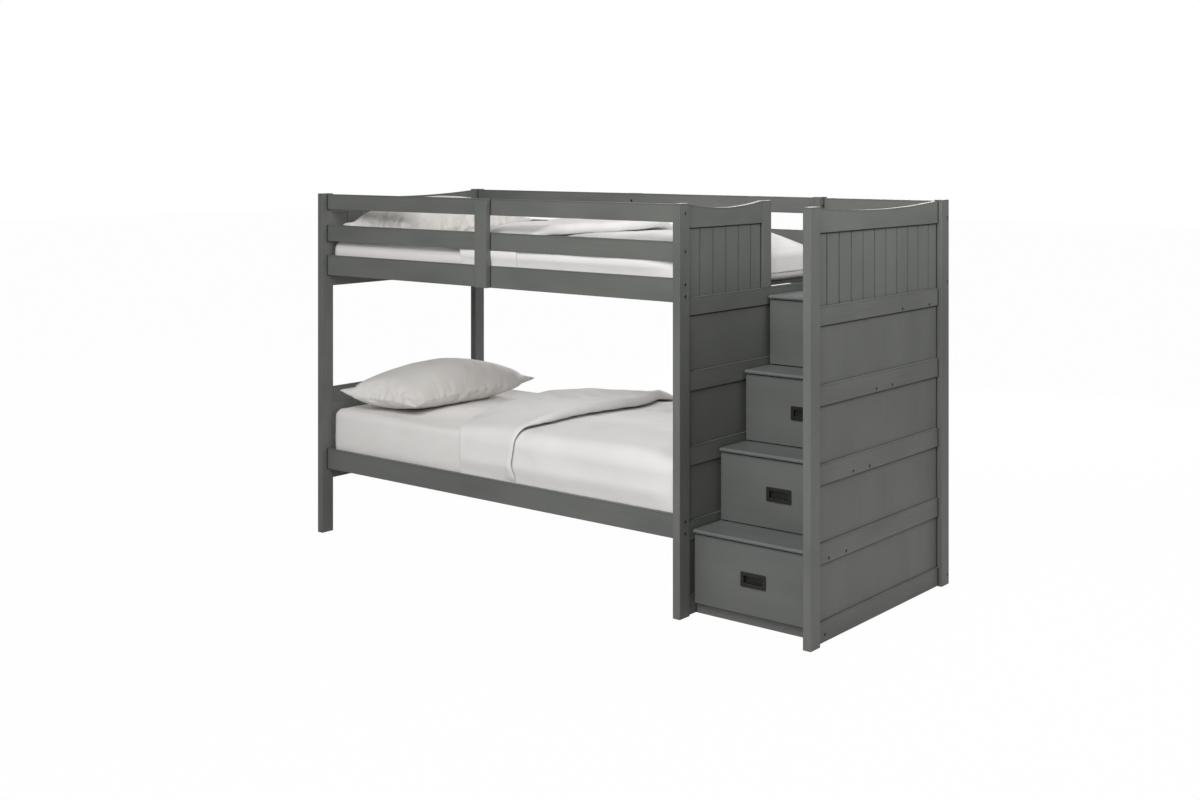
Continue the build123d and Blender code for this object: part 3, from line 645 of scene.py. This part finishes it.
# ---- duvets ------------------------------------------------------------------------------
# A filled quilt in a plain cotton cover lies over the foot end of each mattress, tucked
# down between mattress and side rails.  Its head end is folded back on itself in a
# slanting band, thin at the fold and full at the hem.
FOLD = {  # metres in from the mattress's front edge, and X from its head end, of fold and hem
    "fold_at": (-0.24, -0.12, -0.03, 0.05, 0.14, 0.30, 0.45, 0.62, 0.78, 1.2),
    "fold_x": (0.790, 0.812, 0.812, 0.775, 0.721, 0.637, 0.582, 0.545, 0.527, 0.520),
    "hem_at": (-0.24, -0.16, -0.10, -0.02, 0.06, 0.15, 0.28, 0.40, 0.52, 0.66, 0.80, 0.90, 1.2),
    "hem_x": (1.140, 1.118, 1.108, 1.125, 1.150, 1.180, 1.196, 1.217, 1.243, 1.260, 1.260, 1.250,
              1.235),
}
DUVETS = {  # seed of its creases, thickness at the fold, metres over which the band fills out,
    # and room for a standing hem outside the mattress's edges
    "lower": (21, 0.014, 0.20, 0.30),
    "upper": (34, 0.034, 0.09, 0.0),
}
INNER_SKIN = 0.0015  # height of the lowest skin over the mattress, and least gap under the band
TUCKED = 0.007  # thickness between mattress and rail, and at the foot
FREE_SIDE = 0.017  # how much thicker the sides are above the rail
CREASE = 0.0022  # depth of creases 70 to 500 mm apart
ROLL = 0.0045  # and of rolls 250 to 900 mm apart
BAND_HEIGHT = 0.100  # of the band's top over the mattress, far from the fold
BENEATH_HEIGHT = 0.060  # of the layer beneath it
BEYOND_HEIGHT = 0.026  # how much fuller the quilt is where no band lies on it
LEAST_BAND = 0.0055  # least thickness of the band
HEM_LIFT = 0.010  # how far the hem stands off the layer beneath
TURN = 0.006  # how far the outer turn goes past the fold line
NOSE = 0.020  # length over which the hem is rounded
BORDER = 0.005  # radius of the border at the bottom of sides and foot
SIDE_POINTS = 26  # grid points down each side of a mattress
TOP_POINTS = 96  # and across its top


def fill_out(distance, run):
    """0 at distance 0, rising towards 1 over a few times run."""
    return 1 - np.exp(-distance / run)


def duvet_slices(head, foot, wrap, edge_distance, rail_top, z, seed, thin, run, room):
    """Outline of the folded duvet for every place across the bed, as X and height above the
    mattress.  Going round: under layer from foot to fold, inner turn, underside of the band, hem,
    top of the band, outer turn at the fold, and the inner skin back to the foot.  Node i mirrors
    node -1-i."""
    wrap = wrap[None, :]
    fold = head + np.interp(wrap[0], FOLD["fold_at"], FOLD["fold_x"])
    hem = head + np.interp(wrap[0], FOLD["hem_at"], FOLD["hem_x"])
    squeeze = smoothstep((edge_distance + 0.085) / 0.27)
    side = TUCKED + FREE_SIDE * smoothstep((z - rail_top - 0.004) / 0.07)

    def layer(flat_height, x):
        """Height of a layer that is flat_height high in the middle of the bed: less towards the
        sides, tucked in at the foot, with creases and rolls."""
        off_foot = smoothstep((foot - x + 0.03) / 0.17)
        crease = CREASE * waves(x, wrap, seed, 18, 0.07, 0.5, ridged=0.3)
        roll = ROLL * waves(x, wrap, seed + 1, 10, 0.25, 0.9)
        bulge = side * off_foot + TUCKED * (1 - off_foot)
        relief = (flat_height - side) * squeeze + (crease + roll) * (0.25 + 0.75 * squeeze)
        return bulge + relief * off_foot

    def band_top(x):
        filled = fill_out(np.maximum(x - fold, 0), run)
        return layer(thin + (BAND_HEIGHT - thin) * filled, x)

    def under_top(x):
        filled = fill_out(np.maximum(x - fold, 0), run)
        beneath = thin * 0.57 + (BENEATH_HEIGHT - thin * 0.57) * filled
        beyond = fill_out(np.maximum(x - hem, 0), 0.16)
        return layer(beneath + BEYOND_HEIGHT * beyond, x) * 0.94

    past_fold = fold + TURN
    visible = foot + (hem - foot) * np.linspace(0, 1, 70)[:, None]
    covered = hem + (past_fold - hem) * np.linspace(0, 1, 42)[1:, None]
    under_x = np.concatenate([visible, covered])
    under_h = under_top(under_x)

    band_x = (hem - NOSE) + (past_fold - hem + NOSE) * np.linspace(0, 1, 42)[:, None]
    beneath_h = under_top(band_x)
    above_rail = smoothstep((z - rail_top - 0.002) / 0.02)
    free = above_rail * smoothstep((edge_distance + room) / 0.06)
    gap = INNER_SKIN + HEM_LIFT * np.exp((band_x - band_x[0]) / 0.045) * free
    band_h = np.maximum(band_top(band_x), beneath_h + LEAST_BAND) + gap - INNER_SKIN
    lining_h = beneath_h + gap

    t = np.linspace(0, np.pi, 13)[1:-1, None]
    hem_x = (hem - NOSE) + NOSE * np.sin(t)
    hem_h = (lining_h[0] + band_h[0]) / 2 - (band_h[0] - lining_h[0]) / 2 * np.cos(t)
    t = np.linspace(0, np.pi, 9)[1:-1, None]
    inner_x = past_fold - 0.002 * np.sin(t)
    inner_h = (under_h[-1] + lining_h[-1]) / 2 - (lining_h[-1] - under_h[-1]) / 2 * np.cos(t)
    outer_x = past_fold - 0.5 * (band_h[-1] - INNER_SKIN) * np.sin(t)
    outer_h = (band_h[-1] + INNER_SKIN) / 2 + (band_h[-1] - INNER_SKIN) / 2 * np.cos(t)

    x = np.concatenate([under_x, inner_x, band_x[::-1], hem_x, band_x, outer_x, under_x[::-1]])
    h = np.concatenate([under_h, inner_h, lining_h[::-1], hem_h, band_h, outer_h,
                        np.full_like(under_h, INNER_SKIN)])
    return x, h


def towards_middle(skin, other, share):
    """The middle of a skin and the other one where share is 0, and the skin where share is 1."""
    return (skin + other) / 2 * (1 - share) + skin * share


def off_border(height):
    """0 at the border and 1 from BORDER above it, along a quarter circle."""
    return np.sqrt(np.clip(1 - (1 - np.clip(height / BORDER, 0, 1)) ** 2, 0, 1))


def front_top_back(row):
    """A row of values round the mattress as three: up the front, across the top, up the back."""
    return row[:SIDE_POINTS], row[SIDE_POINTS - 1:1 - SIDE_POINTS], row[-SIDE_POINTS:][::-1]


duvet_cotton = cotton("washed_cotton_duvet", "#ecebea", "#e8e5e3", 7.7)
for bunk in BUNKS:
    seed, thin, run, room = DUVETS[bunk]
    m_low, m_high = (np.array(c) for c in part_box(f"{bunk}_mattress"))
    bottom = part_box(f"{bunk}_duvet")[0][2]
    rail_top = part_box(f"{bunk}_front_side_rail")[1][2]
    width = m_high[1] - m_low[1]

    side_z = np.linspace(bottom, m_high[2], SIDE_POINTS)
    top_y = np.linspace(m_low[1], m_high[1], TOP_POINTS)
    y = np.concatenate([np.full(SIDE_POINTS - 1, m_low[1]), top_y,
                        np.full(SIDE_POINTS - 1, m_high[1])])
    z = np.concatenate([side_z[:-1], np.full(TOP_POINTS, m_high[2]), side_z[-2::-1]])
    below_top = m_high[2] - z
    wrap = np.where(y <= m_low[1] + 1e-9, -below_top, y - m_low[1])
    wrap = np.where(y >= m_high[1] - 1e-9, width + below_top, wrap)
    to_edge = np.minimum(y - m_low[1], m_high[1] - y)
    edge_distance = np.where(below_top > 1e-9, -below_top, to_edge)
    x, h = duvet_slices(m_low[0], m_high[0], wrap, edge_distance, rail_top, z, seed, thin, run,
                        room)
    x = towards_middle(x, x[::-1], off_border(z - bottom))
    h = towards_middle(h, h[::-1], off_border(z - bottom))
    # The box that carries the duvet reaches far past the mattress's head end and underside, so
    # that it is rounded only along the top edges and the foot.
    endless = (m_low[0] - 5, m_low[1], m_low[2] - 5)
    p = np.stack(np.broadcast_arrays(x, y[None, :], z[None, :]), axis=-1)
    main = round_box(p, endless, m_high, MATTRESS_EDGE[bunk], h)

    # The foot: a panel over the end of the mattress, whose border repeats the slices' first row.
    fy, fz = np.meshgrid(top_y, side_z, indexing="ij")
    a = (fy - m_low[1]) / width
    b = (fz - bottom) / (m_high[2] - bottom)
    front, top, back = front_top_back(h[0])
    sides = front[None, :] * (1 - a) + back[None, :] * a
    crown = top[:, None] - (top[0] * (1 - a) + top[-1] * a)
    outer_h = sides + crown * smoothstep(b * 2.4 - 1.4)
    outer_h[0], outer_h[-1], outer_h[:, -1] = front, back, top
    inner_h = np.full_like(outer_h, INNER_SKIN)
    inner_h[0], inner_h[:, -1], inner_h[-1] = front_top_back(h[-1])
    off_hem = off_border(fz - bottom)
    outer = towards_middle(outer_h, inner_h, off_hem)
    inner = towards_middle(inner_h, outer_h, off_hem)
    outer_h[1:-1, :-1] = outer[1:-1, :-1]
    inner_h[1:-1, :-1] = inner[1:-1, :-1]
    p = np.stack([np.full_like(fy, m_high[0]), fy, fz], axis=-1)
    foot_panels = [round_box(p, endless, m_high, MATTRESS_EDGE[bunk], skin)
                   for skin in (outer_h, inner_h)]

    duvet = build_from_grids(f"{bunk}_duvet_in_cover", [main, *foot_panels])
    duvet.data.materials.append(duvet_cotton)
    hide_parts(f"{bunk}_duvet")
    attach(duvet, "bed")
